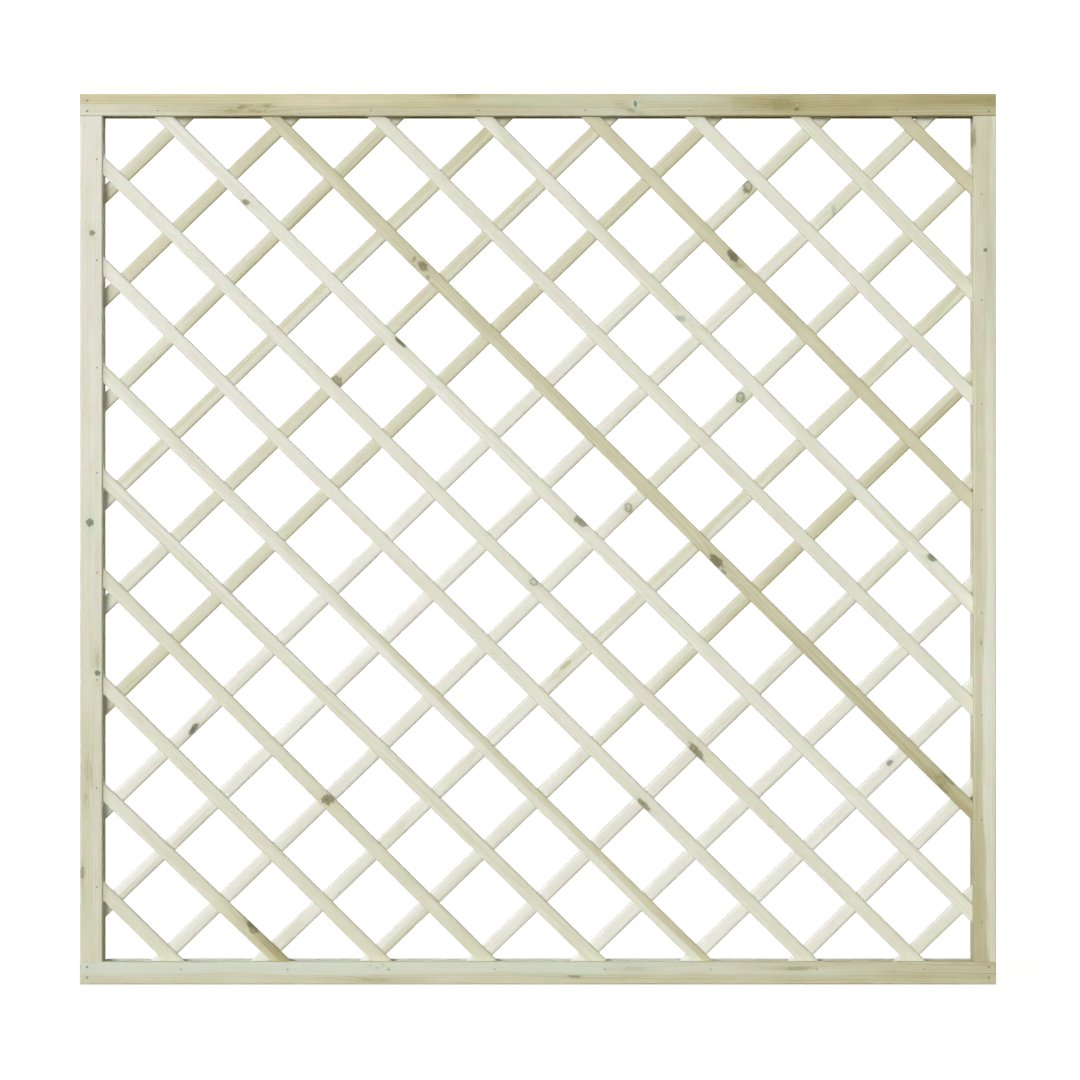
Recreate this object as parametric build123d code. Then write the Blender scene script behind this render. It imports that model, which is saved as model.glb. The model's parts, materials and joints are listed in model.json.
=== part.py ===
from build123d import *
import os

# A framed diamond lattice panel for a garden: a square-section softwood frame with grooved
# inner faces, and two layers of diagonal laths whose ends sit in the grooves.
# +X is to the right as seen from the front, +Y is to the back and +Z is up.
# The origin is under the middle of the bottom rail, on the surface that the panel stands on.

# Whole panel
panel_width = 1830.0
panel_height = 1780.0

# Frame stock
stock_face = 45.0
stock_depth = 45.0
stock_edge_radius = 3.0
groove_depth = 22.0

# Laths
lath_width = 28.0
lath_thickness = 9.0
lath_edge_radius = 2.0
lath_face_play = 0.5
lath_end_play = 1.0

# Corner joints: a haunched tenon on each stile end, in a blind mortise in the rail
mortise_cover = 9.0
haunch_width = 6.0
tenon_cheek_play = 0.15
tenon_end_play = 0.5

# Nails through the corner joints
nail_diameter = 2.4
nail_head_diameter = 4.6
nail_head_thickness = 1.2
nail_head_set = 0.5
nail_bite = 7.0
nail_height_shares = (0.28, 0.86)

# Pins through the frame's cheeks into the lath ends
pin_diameter = 1.8
pin_head_diameter = 3.0
pin_head_thickness = 1.0
pin_head_set = 1.0
pin_bite = 7.0
pin_inset_shares = {"left": 0.5, "top": 0.52, "right": 0.75, "bottom": 0.66}

# Staples, driven from the back, one at each crossing
staple_crown = 11.0
staple_wire_width = 1.2
staple_wire_thickness = 1.0
staple_corner_radius = 0.4
staple_bite = 6.0
staple_edge_margin = 6.0

# Clearance of a nail, pin or staple in its hole, and the overrun of every cut
hole_play = 0.05
overrun = 1.0

# Worked out from the values above
half_width = panel_width / 2
inner_half_width = half_width - stock_face
bottom_edge = stock_face
top_edge = panel_height - stock_face
opening_width = 2 * inner_half_width
opening_height = top_edge - bottom_edge
groove_width = 2 * (lath_thickness + lath_face_play)
lath_entry = groove_depth - lath_end_play
tenon_length = stock_face - mortise_cover
tenon_thickness = groove_width - 2 * tenon_cheek_play
tenon_root_width = stock_face - groove_depth

# Where each lath's centre line meets the edges of the opening, as a share of the opening's
# width from its left edge, or of its height from its bottom edge.
# Front laths fall to the right: eight from the top edge to the right edge, then eight from the
# left edge to the bottom edge.
front_top_shares = (0.9185, 0.8026, 0.6806, 0.5611, 0.4380, 0.3149, 0.1934, 0.0699)
front_right_shares = (0.9177, 0.7924, 0.6697, 0.5445, 0.4225, 0.3017, 0.1780, 0.0567)
front_left_shares = (0.9425, 0.8231, 0.6962, 0.5721, 0.4539, 0.3271, 0.1996, 0.0823)
front_bottom_shares = (0.9349, 0.8117, 0.6898, 0.5682, 0.4420, 0.3205, 0.2039, 0.0815)
# Rear laths rise to the right: eight from the left edge to the top edge, then eight from the
# bottom edge to the right edge.
rear_left_shares = (0.9083, 0.7854, 0.6615, 0.5441, 0.4203, 0.3004, 0.1776, 0.0613)
rear_top_shares = (0.0925, 0.2152, 0.3353, 0.4607, 0.5826, 0.7023, 0.8279, 0.9487)
rear_bottom_shares = (0.0652, 0.1817, 0.3063, 0.4299, 0.5495, 0.6761, 0.7996, 0.9221)
rear_right_shares = (0.9324, 0.8066, 0.6898, 0.5690, 0.4453, 0.3242, 0.2043, 0.0772)


# Setting out, in the plane of the panel: a place is (x, z)


def edge_place(side, share):
    """The place on one edge of the opening, at a share of that edge's length."""
    if side == "left":
        return (-inner_half_width, bottom_edge + share * opening_height)
    if side == "right":
        return (inner_half_width, bottom_edge + share * opening_height)
    if side == "top":
        return (-inner_half_width + share * opening_width, top_edge)
    return (-inner_half_width + share * opening_width, bottom_edge)


def lath_lines(start_side, start_shares, end_side, end_shares):
    """The centre lines of laths: for each, its two ends as (side, place)."""
    pairs = zip(start_shares, end_shares)
    return [
        ((start_side, edge_place(start_side, start)), (end_side, edge_place(end_side, end)))
        for start, end in pairs
    ]


front_lines = lath_lines("top", front_top_shares, "right", front_right_shares)
front_lines += lath_lines("left", front_left_shares, "bottom", front_bottom_shares)
rear_lines = lath_lines("left", rear_left_shares, "top", rear_top_shares)
rear_lines += lath_lines("bottom", rear_bottom_shares, "right", rear_right_shares)


def run_and_rise(line):
    """How far a centre line goes along X and Z."""
    (_, (x0, z0)), (_, (x1, z1)) = line
    return (x1 - x0, z1 - z0)


def crossing(front, rear):
    """The place where a front lath's centre line meets a rear lath's."""
    (x0, z0) = front[0][1]
    (x1, z1) = rear[0][1]
    (run_a, rise_a) = run_and_rise(front)
    (run_b, rise_b) = run_and_rise(rear)
    along = ((x1 - x0) * rise_b - (z1 - z0) * run_b) / (run_a * rise_b - rise_a * run_b)
    return (x0 + along * run_a, z0 + along * rise_a)


def is_open(place):
    """Whether a staple at this place clears the frame."""
    (x, z) = place
    beside = abs(x) < inner_half_width - staple_edge_margin - staple_crown / 2
    above = z > bottom_edge + staple_edge_margin
    below = z < top_edge - staple_edge_margin
    return beside and above and below


def pin_place(line, end):
    """The place of the pin in one end of a lath, on its centre line and behind the frame's face."""
    (side, (x, z)) = line[end]
    (run, rise) = run_and_rise(line)
    inset = pin_inset_shares[side] * groove_depth
    if side in ("left", "right"):
        out = -inset if side == "left" else inset
        return (x + out, z + out * rise / run)
    out = -inset if side == "bottom" else inset
    return (x + out * run / rise, z + out)


def box_between(low, high):
    """A box from its lowest corner to its highest."""
    size = [b - a for a, b in zip(low, high)]
    middle = [(a + b) / 2 for a, b in zip(low, high)]
    return Pos(*middle) * Box(*size)


# Fasteners


def rod(place, y_from, y_to, diameter):
    """A round bar along Y at a place on the panel."""
    (x, z) = place
    middle = Pos(x, (y_from + y_to) / 2, z) * Rot(X=90)
    return middle * Cylinder(diameter / 2, abs(y_to - y_from))


def driven(place, facing, size, play=0.0, opened=0.0):
    """A nail or pin driven from the face on the side that facing points to (-1 front, 1 back).
    With play and opened, it is the hole that the fastener leaves, with its sunk head."""
    face = facing * stock_depth / 2
    head_top = face - facing * size["head_set"]
    head_bottom = head_top - facing * size["head_thickness"]
    tip = -facing * (groove_width / 2 + size["bite"] + play)
    if opened:
        head_top = face + facing * opened
    shank = rod(place, head_bottom, tip, size["diameter"] + 2 * play)
    head = rod(place, head_top, head_bottom, size["head_diameter"] + 2 * play)
    return shank + head


nail = {
    "diameter": nail_diameter,
    "head_diameter": nail_head_diameter,
    "head_thickness": nail_head_thickness,
    "head_set": nail_head_set,
    "bite": nail_bite,
}
pin = {
    "diameter": pin_diameter,
    "head_diameter": pin_head_diameter,
    "head_thickness": pin_head_thickness,
    "head_set": pin_head_set,
    "bite": pin_bite,
}


def staple(place):
    """A staple whose crown lies level on the back of the rear lath."""
    (x, z) = place
    back = lath_thickness + staple_wire_thickness
    tip = -staple_bite
    half_crown = staple_crown / 2
    half_wire = staple_wire_width / 2
    outside = box_between((x - half_crown, tip, z - half_wire), (x + half_crown, back, z + half_wire))
    outside = fillet(outside.edges().filter_by(Axis.Z).group_by(Axis.Y)[-1], staple_corner_radius)
    half_gap = half_crown - staple_wire_thickness
    inside = box_between(
        (x - half_gap, tip - overrun, z - staple_wire_width),
        (x + half_gap, lath_thickness, z + staple_wire_width),
    )
    return outside - inside


def leg_slots(place):
    """The two slots that a staple's legs leave in the laths."""
    (x, z) = place
    half_wire = staple_wire_width / 2 + hole_play
    slots = []
    for hand in (-1, 1):
        outer = hand * (staple_crown / 2 + hole_play)
        inner = hand * (staple_crown / 2 - staple_wire_thickness - hole_play)
        low = (x + min(outer, inner), -staple_bite - hole_play, z - half_wire)
        high = (x + max(outer, inner), lath_thickness + overrun, z + half_wire)
        slots.append(box_between(low, high))
    return slots


front_pins = [pin_place(line, end) for line in front_lines for end in (0, 1)]
rear_pins = [pin_place(line, end) for line in rear_lines for end in (0, 1)]

nail_from_end = (haunch_width + tenon_root_width) / 2
nail_places = []
for hand in (-1, 1):
    for share in nail_height_shares:
        from_joint = share * tenon_length
        nail_places.append((hand * (half_width - nail_from_end), bottom_edge - from_joint))
        nail_places.append((hand * (half_width - nail_from_end), top_edge + from_joint))

crossings = {
    (front, rear): crossing(front_lines[front], rear_lines[rear])
    for front in range(len(front_lines))
    for rear in range(len(rear_lines))
}
stapled = {pair: place for pair, place in crossings.items() if is_open(place)}


# Every hole in the frame's pieces and in the tenons: they are cut from whatever they pass through
front_pin_holes = [driven(place, -1, pin, hole_play, overrun) for place in front_pins]
rear_pin_holes = [driven(place, 1, pin, hole_play, overrun) for place in rear_pins]
nail_holes = [driven(place, -1, nail, hole_play, overrun) for place in nail_places]


def drilled(solid, holes):
    """The solid with those of the holes that reach it cut out."""
    box = solid.bounding_box()
    near = []
    for hole in holes:
        (low, high) = (hole.bounding_box().min, hole.bounding_box().max)
        apart_x = low.X > box.max.X or high.X < box.min.X
        apart_z = low.Z > box.max.Z or high.Z < box.min.Z
        if not apart_x and not apart_z:
            near.append(hole)
    return solid - near if near else solid


# Frame


def rail(upward):
    """A rail along the whole width, grooved on the side that faces the opening: upward is 1 for
    the bottom rail and -1 for the top rail."""
    inner = bottom_edge if upward > 0 else top_edge
    middle = inner - upward * stock_face / 2
    section = Plane(origin=(0, 0, middle), x_dir=(0, 1, 0), z_dir=(1, 0, 0))
    section *= RectangleRounded(stock_depth, stock_face, stock_edge_radius)
    blank = extrude(section, half_width, both=True)
    cuts = [level_slot(-half_width - overrun, half_width + overrun, inner, upward, groove_depth)]
    for hand in (-1, 1):
        outer = hand * (half_width - haunch_width + tenon_cheek_play)
        root = hand * (half_width - tenon_root_width - tenon_cheek_play)
        depth = tenon_length + tenon_end_play
        cuts.append(level_slot(min(outer, root), max(outer, root), inner, upward, depth))
    return drilled(blank - cuts, front_pin_holes + rear_pin_holes + nail_holes)


def level_slot(x_from, x_to, inner, upward, depth):
    """A slot in a rail, as wide as the groove, cut to a depth from the rail's inner face."""
    mouth = inner + upward * overrun
    floor = inner - upward * depth
    half_slot = groove_width / 2
    return box_between(
        (x_from, -half_slot, min(mouth, floor)), (x_to, half_slot, max(mouth, floor))
    )


def stile(hand):
    """A stile between the rails, with a haunched tenon on each end: hand is -1 for the left
    stile and 1 for the right stile."""
    outer = hand * half_width
    middle = hand * (half_width - stock_face / 2)
    section = Plane(origin=(middle, 0, bottom_edge), x_dir=(1, 0, 0), z_dir=(0, 0, 1))
    section *= RectangleRounded(stock_face, stock_depth, stock_edge_radius)
    blank = extrude(section, opening_height)
    groove_floor = hand * (half_width - tenon_root_width)
    mouth = hand * (inner_half_width - overrun)
    half_slot = groove_width / 2
    groove = box_between(
        (min(groove_floor, mouth), -half_slot, bottom_edge - overrun),
        (max(groove_floor, mouth), half_slot, top_edge + overrun),
    )
    half_tenon = tenon_thickness / 2
    haunch_edge = hand * (half_width - haunch_width)
    tenon = box_between(
        (min(groove_floor, haunch_edge), -half_tenon, bottom_edge - tenon_length),
        (max(groove_floor, haunch_edge), half_tenon, top_edge + tenon_length),
    )
    haunch_length = groove_depth - tenon_end_play
    haunch = box_between(
        (min(outer, haunch_edge), -half_tenon, bottom_edge - haunch_length),
        (max(outer, haunch_edge), half_tenon, top_edge + haunch_length),
    )
    solid = blank - groove + [tenon, haunch]
    return drilled(solid, front_pin_holes + rear_pin_holes + nail_holes)


# Laths

# The space that the laths fill: the opening, and the grooves round it less the end play
lath_field = box_between(
    (-inner_half_width - lath_entry, -lath_thickness, bottom_edge - lath_entry),
    (inner_half_width + lath_entry, lath_thickness, top_edge + lath_entry),
)


def lath(line, y_middle, holes):
    """A lath along a centre line, cut off square to the frame inside the grooves."""
    (x, z) = line[0][1]
    (run, rise) = run_and_rise(line)
    length = (run**2 + rise**2) ** 0.5
    spare = 2 * (lath_entry + lath_width)
    (x_start, z_start) = (x - run / length * spare, z - rise / length * spare)
    section = Plane(origin=(x_start, y_middle, z_start), x_dir=(0, 1, 0), z_dir=(run, 0, rise))
    section *= RectangleRounded(lath_thickness, lath_width, lath_edge_radius)
    bar = extrude(section, length + 2 * spare)
    return (bar & lath_field) - holes


def save(name, solids):
    """Writes one sub-part, a single solid or a group of like solids."""
    group = [solid for item in solids for solid in item.solids()]
    shape = group[0] if len(group) == 1 else Compound(children=group)
    shape.label = name
    export_step(shape, f"parts/{name}.step")


save("bottom_rail", [rail(1)])
save("top_rail", [rail(-1)])
save("left_stile", [stile(-1)])
save("right_stile", [stile(1)])

for number, line in enumerate(front_lines):
    holes = front_pin_holes[2 * number : 2 * number + 2]
    for (front, _), place in stapled.items():
        if front == number:
            holes = holes + leg_slots(place)
    save(f"front_lath_{number + 1:02d}", [lath(line, -lath_thickness / 2, holes)])

for number, line in enumerate(rear_lines):
    holes = rear_pin_holes[2 * number : 2 * number + 2]
    for (_, rear), place in stapled.items():
        if rear == number:
            holes = holes + leg_slots(place)
    save(f"rear_lath_{number + 1:02d}", [lath(line, lath_thickness / 2, holes)])

save("corner_nails", [driven(place, -1, nail) for place in nail_places])
save("front_lath_pins", [driven(place, -1, pin) for place in front_pins])
save("rear_lath_pins", [driven(place, 1, pin) for place in rear_pins])
save("crossing_staples", [staple(place) for place in stapled.values()])

print("staples:", len(stapled))
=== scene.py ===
import json
import math

import bmesh
import bpy
import numpy as np
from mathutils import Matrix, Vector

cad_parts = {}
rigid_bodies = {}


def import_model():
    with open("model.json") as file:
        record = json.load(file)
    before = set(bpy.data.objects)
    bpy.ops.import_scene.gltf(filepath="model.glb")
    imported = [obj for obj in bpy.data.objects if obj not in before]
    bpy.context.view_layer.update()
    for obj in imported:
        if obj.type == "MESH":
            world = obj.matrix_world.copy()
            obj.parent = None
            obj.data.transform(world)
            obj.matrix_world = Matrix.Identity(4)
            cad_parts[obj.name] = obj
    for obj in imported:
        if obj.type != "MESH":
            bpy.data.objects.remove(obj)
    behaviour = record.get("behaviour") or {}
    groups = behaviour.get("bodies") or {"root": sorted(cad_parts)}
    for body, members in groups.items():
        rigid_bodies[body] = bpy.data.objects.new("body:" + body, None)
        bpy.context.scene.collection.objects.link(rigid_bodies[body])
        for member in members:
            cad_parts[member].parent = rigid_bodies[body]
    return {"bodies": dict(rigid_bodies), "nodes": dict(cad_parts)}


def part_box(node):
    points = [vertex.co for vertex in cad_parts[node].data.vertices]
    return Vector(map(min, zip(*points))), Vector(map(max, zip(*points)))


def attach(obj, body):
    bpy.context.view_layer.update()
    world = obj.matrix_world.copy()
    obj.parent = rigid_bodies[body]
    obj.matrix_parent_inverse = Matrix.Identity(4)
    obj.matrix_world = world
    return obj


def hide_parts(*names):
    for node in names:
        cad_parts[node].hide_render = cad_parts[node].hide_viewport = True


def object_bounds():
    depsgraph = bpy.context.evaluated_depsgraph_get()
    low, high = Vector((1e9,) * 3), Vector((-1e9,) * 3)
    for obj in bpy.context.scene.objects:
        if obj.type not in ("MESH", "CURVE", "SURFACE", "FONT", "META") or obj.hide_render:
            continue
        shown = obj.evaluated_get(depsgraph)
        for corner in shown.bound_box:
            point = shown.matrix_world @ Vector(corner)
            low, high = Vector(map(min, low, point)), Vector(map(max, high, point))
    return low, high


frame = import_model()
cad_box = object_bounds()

# A framed diamond lattice panel of pale, pressure-treated softwood, seen square from the front.
# All places are in metres: +X to the right as seen from the front, +Y to the back and +Z up.

MM = 0.001

# Sizes that the frame gives
(panel_low, panel_high) = (np.array(corner) for corner in cad_box)
bottom_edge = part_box("bottom_rail")[1].z
top_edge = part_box("top_rail")[0].z
inner_half_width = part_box("right_stile")[0].x
half_width = panel_high[0]
stock_face = half_width - inner_half_width
half_depth = panel_high[1]
lath_names = sorted(name for name in frame["nodes"] if "_lath_" in name and "pins" not in name)
field_low = np.min([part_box(name)[0] for name in lath_names], axis=0)
field_high = np.max([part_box(name)[1] for name in lath_names], axis=0)
lath_thickness = field_high[1]

# Sizes of the frame's section and of its corner joints
stock_edge_radius = 3 * MM
groove_depth = 22 * MM
half_groove = 9.5 * MM
groove_mouth_ease = 0.5 * MM
half_tenon = 9.35 * MM
haunch_length = 21.5 * MM
rail_end_ease = 0.7 * MM

# Sizes of the recesses that hold the sunk heads of the pins and nails
pin_recess_radius = 1.6 * MM
pin_recess_depth = 2.05 * MM
nail_recess_radius = 2.4 * MM
nail_recess_depth = 1.75 * MM
recess_rim = 0.35 * MM
recess_cell = 4 * MM
head_reach = 6 * MM

# Sizes of the laths' section
lath_round_width = 7 * MM
lath_round_depth = 3.2 * MM
lath_contact_gap = 0.05 * MM

# How finely the pieces are divided
station_step = 20 * MM
mark_step = 3 * MM
mark_margin = 1.5
corner_segments = 5
face_columns = 6
recess_sides = 16
first_corner_angle = 225
sharp_angle = 40

# How squarely a face has to look inwards, or along the piece, to be an inner face or end grain
inner_face_share = 0.8
end_grain_share = 0.5

# Wear: how deep the arrises are worn, over what length that changes, and the least and most
# place, length and depth of a dent. On a lath's back it is shallower, by a share of its depth.
arris_wear = 0.35 * MM
wear_length = 60 * MM
dents_per_metre = 1.6
dent_place_shares = (0.05, 0.95)
dent_length = (5 * MM, 16 * MM)
dent_depth = (0.3 * MM, 0.9 * MM)
dent_back_share = 0.35

# How much a point of an outline has to face sideways, or backwards, to count as doing so
side_facing_share = 0.1
back_facing_share = 0.2

# The log that a piece is sawn from: the least and most distance of its pith, how far the
# grain leans against the piece, and how long the log is
pith_distance = (0.03, 0.11)
grain_lean = 0.012
log_length = 40.0

# Marks of the wood. Each lath's olive shares go along it from its left end: 0 is cream wood and
# 1 is olive wood.
front_olive_shares = (
    (0.8, 1.03), (0.35, 0.4), (0.2, 0.3), (0.8, 0.88, 0.82), (0.3, 0.25), (0.25, 0.4),
    (0.84, 0.86, 0.93, 1.36), (0.1, 0.3), (0.1, 0.3, 0.45), (0.05, 0.25, 0.4), (0.12, 0.65),
    (0.22, 0.52), (0.4, 0.6), (0.3, 0.56), (0.3, 0.35, 0.4, 0.4, 0.95, 1.55), (0.5, 0.52),
)
rear_olive_shares = (
    (0.6, 0.6), (0.57, 0.87), (0.36, 0.81), (0.33, 0.52, 0.52, 0.95), (0.25, 0.55, 0.6, 0.6),
    (0.68, 0.5, 0.7, 0.82), (0.05, 0.1, 0.52), (0.05, 0.05, 0.5), (0.14, 0.15, 0.56), (0.1, 0.6),
    (0.3, 0.15, 0.8, 0.9), (0.05, 0.45), (0.0, 0.27), (0.0, 0.15), (0.1, 0.13), (0.28, 0.28),
)
# How much more olive a lath's upper edge is than its lower edge, along it from its left end
lath_lean_shares = {
    "front_lath_04": (0.0, 0.15, 0.08, 0.08, 0.05),
    "front_lath_07": (0.1, 0.15, 0.05, -0.05, -0.4),
    "front_lath_11": (0.15, 0.12, 0.44, 0.38, 0.6),
    "front_lath_12": (0.0, -0.28, -0.08, 0.0, 0.0),
    "front_lath_15": (0.0, 0.0, 0.15, 0.9),
    "rear_lath_01": (-0.35, -0.15),
    "rear_lath_03": (-0.02, -0.22, -0.15),
    "rear_lath_04": (0.22, 0.22, 0.4, 0.22, 0.15),
    "rear_lath_05": (0.2, -0.08, 0.1, 0.28, 0.27),
    "rear_lath_06": (-0.12, -0.08, 0.0, -0.05),
    "rear_lath_07": (-0.3, -0.04, -0.08, -0.02, -0.35),
    # rear_lath_08's first share darkens its lower edge by the left stile, where the corner lies in
    # shade: painted shade
    "rear_lath_08": (-0.8, -0.03, 0.0, 0.0, 0.0),
    "rear_lath_09": (-0.25, -0.1, -0.07, -0.07, 0.0),
    "rear_lath_10": (0.05, 0.03, 0.22, 0.05, 0.25),
    "rear_lath_11": (-0.5, 0.05, -0.3, -0.05, -0.5),
    "rear_lath_12": (-0.1, -0.1, -0.1, -0.05, 0.08),
}
# At how many marks along a lath its edges' olive shares are worked out
lath_tone_marks = 25

# The frame's olive shares go along the piece, at its inner edge and at its outer edge. Its
# green shares go the same way: 1 is the pale green that the preservative leaves, and -1 yellow.
frame_olive_shares = {
    "top_rail": (
        (0.3, 0.75, 0.93, 0.95, 0.83, 1.0, 1.2, 1.2),
        (0.68, 0.58, 0.55, 0.75, 0.75, 0.85, 1.15, 1.5),
    ),
    "bottom_rail": ((0.38, 0.33, 0.4, 0.55, 0.8, 1.08), (0.66, 0.72, 0.72, 0.8, 0.88, 0.92)),
    "left_stile": ((0.6, 0.42, 0.22, 0.15, 0.15, 0.1), (0.6, 0.47, 0.38, 0.3, 0.25, 0.15)),
    "right_stile": (
        (1.05, 0.95, 0.65, 0.65, 0.65, 0.65, 0.65),
        (0.5, 0.42, 0.25, 0.25, 0.35, 0.5, 0.3),
    ),
}
frame_green_shares = {
    "top_rail": (
        (0.2, -0.1, -0.1, -0.1, 0.4, -0.1, -0.4, 0.0),
        (-0.8, -0.8, -0.6, -0.2, -0.4, -0.6),
    ),
    "bottom_rail": ((0.8, 0.9, 0.7, 0.8, 0.2, 0.0), (0.2, 0.1, 0.0, 0.0)),
    "left_stile": ((0.1, 0.1, 0.0), (0.1, 0.1, 0.0)),
    "right_stile": ((0.0, 0.0, 0.0, 0.1), (0.2, 0.2, 0.1, 0.1)),
}

# Where a frame member's two tones meet, along the piece: -1 is its inner edge and 1 its outer
frame_seam_shares = {
    "top_rail": (0.0, 0.0),
    "bottom_rail": (0.1, 0.1, 0.0, 0.0),
    "left_stile": (0.0, 0.0),
    "right_stile": (0.35, -0.25, -0.1, 0.08, 0.28, 0.35, 0.3),
}

# How much painted shade darkens each frame member's inner faces: those that lie in shade get it,
# the lit right stile none
frame_painted_shade_shares = {"top_rail": 1.0, "bottom_rail": 1.2, "left_stile": 1.0, "right_stile": 0.0}

# Knots and smudges of each piece: the share of its length and of its half width at which the
# middle lies, its length and width in mm, its turn in degrees, and how dark, how hollow and how
# green it is. A smudge is a mark with next to no darkness.
knots = {
    "front_lath_04": [
        (0.3740, 0.34, 26, 13, -4, 0.9, 0, 0.2),
        (0.3925, 0.05, 14, 8, 40, 0.2, 0, 0),
    ],
    "front_lath_05": [
        (0.4120, -0.53, 18, 9, 32, 0.35, 0.2, 0.9),
        (0.8941, 0.67, 18, 11, 30, 0.7, 0, 0.7),
    ],
    "front_lath_07": [
        (0.2239, 0.09, 20, 13, -12, 0.7, 0.2, 0),
        (0.2130, -0.18, 6, 11, 30, 0.45, 0, 0),
        (0.2354, -0.57, 7, 6, 0, 0.45, 0, 0),
        (0.6335, -0.38, 26, 14, 0, 0.85, 0.25, 0.1),
        (0.6461, -0.72, 13, 6, 0, 0.55, 0, 0.6),
        (0.9415, -0.14, 22, 12, 0, 0.3, 0.7, 0),
        (0.9455, 0.74, 32, 6, 0, 0.55, 0, 0.2),
        (0.9484, -0.66, 26, 6, 0, 0.6, 0, 0.1),
    ],
    "front_lath_08": [
        (0.1141, -0.49, 13, 9, 32, 0.65, 0, 0.1),
        (0.2935, 0.77, 27, 7, 3, 0.8, 0, 0),
        (0.5115, 0.56, 27, 13, 14, 0.68, 0, 0.5),
    ],
    "front_lath_09": [
        (0.5257, 0.52, 15, 13, 0, 0.5, 0.8, 0.6),
        (0.7271, -0.60, 36, 13, -7, 0.72, 0.1, 0.15),
    ],
    "front_lath_10": [(0.7625, -0.64, 30, 10, 0, 0.68, 0.1, 0.1)],
    "front_lath_13": [(0.5776, 0.22, 21, 17, 40, 0.72, 0.1, 0)],
    "front_lath_15": [
        (0.7804, 0.79, 28, 9, 0, 0.8, 0, 0.3),
        (0.7935, 0.39, 11, 9, 20, 0.6, 0.7, 0),
    ],
    "rear_lath_05": [(0.4600, -0.01, 20, 22, 0, 0.62, 0, 0.2)],
    "rear_lath_07": [
        (0.1317, -0.48, 25, 9, 8, 0.9, 0, 0.5),
        (0.8868, 0.40, 24, 18, 45, 0.8, 0.85, 0),
    ],
    "rear_lath_08": [(0.8747, -0.27, 17, 6, 50, 0.3, 0, 0.8)],
    "rear_lath_09": [
        (0.7102, 0.12, 19, 15, 45, 0.65, 0.6, 0.35),
        (0.5746, -0.05, 19, 13, 58, 0.6, 0.75, 0.1),
    ],
    "rear_lath_10": [(0.4325, 0.46, 28, 9, 0, 0.22, 0, 0)],
    "rear_lath_11": [(0.7912, -0.66, 5, 4, 0, 0.6, 0, 0)],
    "rear_lath_14": [(0.7001, 0.44, 13, 9, 0, 0.6, 0, 0.9)],
    "top_rail": [
        (0.6064, 0.07, 6, 12, 0, 0.75, 0, 1),
        (0.6020, -0.50, 16, 6, -20, 0.25, 0.3, 0),
        (0.1759, -0.24, 14, 6, 10, 0.42, 0.3, 0),
        (0.1639, -0.55, 26, 8, 0, 0.18, 0.5, 0),
        (0.2043, -0.11, 9, 5, 0, 0.32, 0.3, 0),
        (0.1930, -0.60, 22, 6, 0, 0.12, 0.6, 0),
        (0.4171, 0.90, 26, 9, 0, 0.12, 0, 0),
        (0.4913, 0.40, 70, 12, 0, 0.02, 0, 0.6),
        (0.6376, 0.60, 30, 10, 0, 0.02, 0, 0.8),
        (0.6736, 0.47, 26, 10, 0, 0.02, 0, 0.7),
        (0.7664, 0.07, 34, 22, 0, 0.1, 0, 0),
        (0.7827, -0.38, 9, 7, 0, 0.7, 0, 0),
    ],
    "bottom_rail": [
        (0.3167, -0.66, 5, 4, 0, 0.24, 0, 1),
        (0.3243, -0.50, 6, 4, 0, 0.28, 0, 1),
        (0.3309, -0.75, 4, 4, 0, 0.24, 0, 1),
        (0.3363, -0.35, 5, 4, 0, 0.28, 0, 1),
        (0.3210, 0.58, 34, 10, 0, 0.1, 0, 0),
        (0.5404, 0.24, 20, 6, 0, 0.6, 0, 0.4),
        (0.5300, -0.20, 50, 12, 0, 0.02, 0, 0.7),
        (0.6037, -0.39, 34, 9, 0, 0.12, 0, 0),
        (0.7827, -0.44, 36, 6, 0, 0.25, 0.4, 0),
        (0.8024, -0.04, 44, 8, 0, 0.02, 0, 0.8),
    ],
    "left_stile": [
        (0.8618, -0.08, 9, 11, 20, 0.7, 0, 0.4),
        (0.5195, 0.09, 13, 12, 0, 0.8, 0, 0.9),
        (0.3417, -0.57, 9, 9, 0, 0.85, 0, 0.7),
        (0.3560, -0.55, 20, 12, 0, 0.14, 0, -0.2),
        (0.2271, 0.28, 34, 14, 0, 0.12, 0, 0.1),
        (0.1940, 0.45, 16, 10, 0, 0.12, 0, 0.1),
        (0.1054, 0.76, 22, 7, 0, 0.55, 0, 0.1),
    ],
    "right_stile": [
        (0.8417, 0.09, 7, 7, 0, 0.95, 0, 0.7),
        (0.8275, 0.4, 70, 12, 0, 0.06, 0, 0.35),
        (0.3776, -0.28, 7, 5, 0, 0.45, 0.6, 0.2),
        (0.9741, -0.90, 34, 5, 0, 0.5, 0, 0),
    ],
}
# How far a knot rises, and the distance in half sizes that stands for no knot near
knot_rise = 0.3 * MM
knot_reach = 16.0

# Chips in the edges: the share of the length, the side (1 upper, -1 lower), length and depth
chips = {"rear_lath_08": [(0.4868, -1, 11, 1.4)]}

# The panel and the camera's axis in the photograph, in its pixels, and the camera's distance in
# metres and its sensor's width in mm
photo_side = 1080
panel_width_px = 916.2
panel_centre_px = (537.95, 539.1)
camera_axis_px = (537.3, 477.6)
camera_distance = 5.6
sensor_width = 36.0

# Lamps: where each one's light comes from, its strength, and how wide its source is in degrees
key_from = (-0.5, -0.75, 0.2)
key_spread = 24
lamps = {
    "key_light": (key_from, 0.65, key_spread),
    "front_fill": (key_from, 2.34, key_spread),
    "rear_fill": ((-0.4, -1.0, 0.22), 1.56, 20),
    "rear_soft": (key_from, 0.56, key_spread),
    "frame_fill": (key_from, 2.18, key_spread),
    "bounce": ((0.7, -0.15, -0.6), 0.45, 60),
    "side_light": ((0.9, -0.3, 0.05), 0.5, 60),
    "back_light": ((0.1, 1.0, 0.0), 2.3, 40),
}
lamp_colour = (1.0, 1.005, 1.03)

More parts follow.
